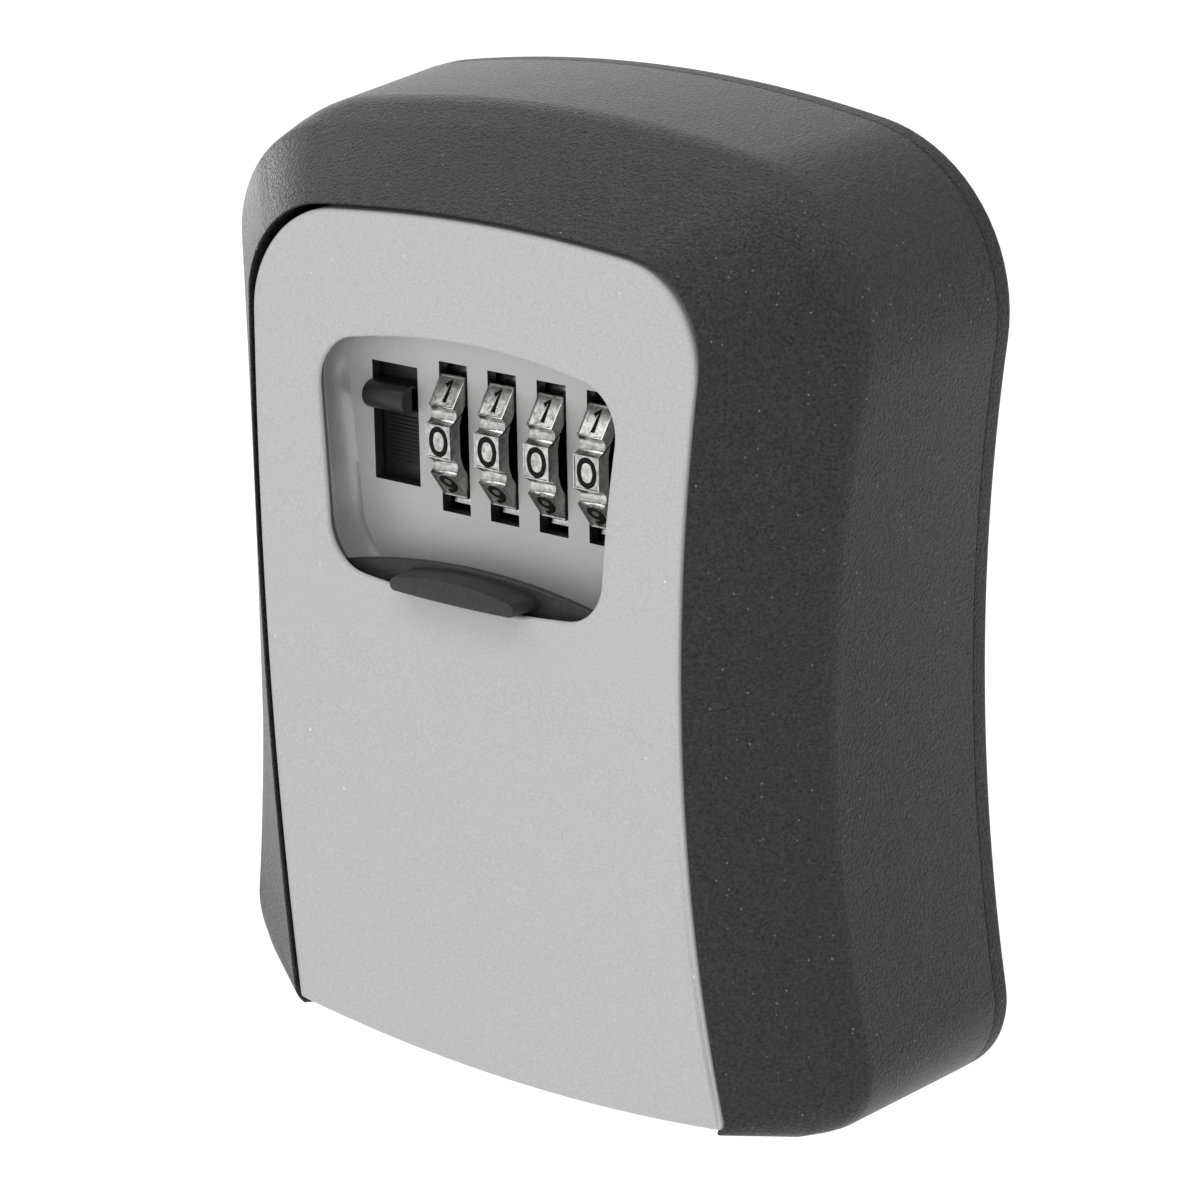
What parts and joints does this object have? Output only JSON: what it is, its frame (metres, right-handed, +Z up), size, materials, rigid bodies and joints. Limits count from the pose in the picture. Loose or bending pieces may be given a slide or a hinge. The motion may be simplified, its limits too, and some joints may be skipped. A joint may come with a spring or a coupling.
{
  "type": "combination key safe",
  "caption": "Wall-mounted key safe: waisted housing with a bevelled rim, bowed drop-down door, number dials, opening lever and a shutter that slides over the dial window.",
  "frame": {"origin": "middle of the wall-hole pattern on the rear face, at mid height of the housing", "axes": "+X to the viewer's right when facing the door, +Y into the wall, +Z up; the door faces -Y"},
  "size_m": [0.0998, 0.0424, 0.12],
  "materials": {
    "housing_coat": "dark grey powder coat with a fine sparkle",
    "back_coat": "dark grey powder coat",
    "door_coat": "light grey coat with a very fine grain",
    "tray_coat": "grey coat, smooth",
    "shutter_plastic": "dark grey moulded plastic, fine grain",
    "lever_plastic": "near-black moulded plastic",
    "dial_metal": "bright die-cast metal, slightly rough",
    "cover_zinc": "zinc-plated sheet",
    "plain_steel": "bright steel",
    "spring_steel": "spring steel",
    "screw_steel": "zinc-plated steel",
    "sleeve_brass": "turned brass"
  },
  "bodies": {
    "housing": {"housing": "housing_coat", "back_plate": "back_coat", "back_plate_screws": "screw_steel", "strike_plate": "plain_steel", "strike_screws": "screw_steel", "hinge_pin": "plain_steel"},
    "door": {"door_panel": "door_coat", "dial_plate": "tray_coat", "dial_shaft": "plain_steel", "detent_spring": "spring_steel", "mechanism_cover": "cover_zinc", "cover_screws": "screw_steel", "latch_spring": "spring_steel"},
    "shutter": {"shutter": "shutter_plastic"},
    "latch": {"open_lever": "lever_plastic", "latch_plate": "plain_steel", "lock_fence": "plain_steel"},
    "dial_1": {"dial_wheel_1": "dial_metal", "code_sleeve_1": "sleeve_brass"},
    "dial_2": {"dial_wheel_2": "dial_metal", "code_sleeve_2": "sleeve_brass"},
    "dial_3": {"dial_wheel_3": "dial_metal", "code_sleeve_3": "sleeve_brass"},
    "dial_4": {"dial_wheel_4": "dial_metal", "code_sleeve_4": "sleeve_brass"},
    "reset": {"reset_lever": "lever_plastic"}
  },
  "joints": [
    {"name": "door_hinge", "type": "hinge", "parent": "housing", "child": "door", "pos_m": [0, -0.0265, -0.0555], "axis": [1, 0, 0], "range_deg": [0, 100]},
    {"name": "shutter_slide", "type": "hinge", "parent": "door", "child": "shutter", "pos_m": [0, 0.2845, 0.001], "axis": [-1, 0, 0], "range_deg": [0, 4.7]},
    {"name": "latch_slide", "type": "slide", "parent": "door", "child": "latch", "axis": [0, 0, -1], "range_m": [0, 0.008], "stiffness_N_per_m": 400, "springref_m": -0.006, "deforming": ["latch_spring"]},
    {"name": "dial_1_turn", "type": "hinge", "parent": "door", "child": "dial_1", "pos_m": [-0.007, -0.0262, 0.0203], "axis": [1, 0, 0], "continuous": true},
    {"name": "dial_2_turn", "type": "hinge", "parent": "door", "child": "dial_2", "pos_m": [0.0005, -0.0262, 0.0203], "axis": [1, 0, 0], "continuous": true},
    {"name": "dial_3_turn", "type": "hinge", "parent": "door", "child": "dial_3", "pos_m": [0.008, -0.0262, 0.0203], "axis": [1, 0, 0], "continuous": true},
    {"name": "dial_4_turn", "type": "hinge", "parent": "door", "child": "dial_4", "pos_m": [0.0155, -0.0262, 0.0203], "axis": [1, 0, 0], "continuous": true},
    {"name": "reset_slide", "type": "slide", "parent": "door", "child": "reset", "axis": [1, 0, 0], "range_m": [0, 0.006]}
  ]
}
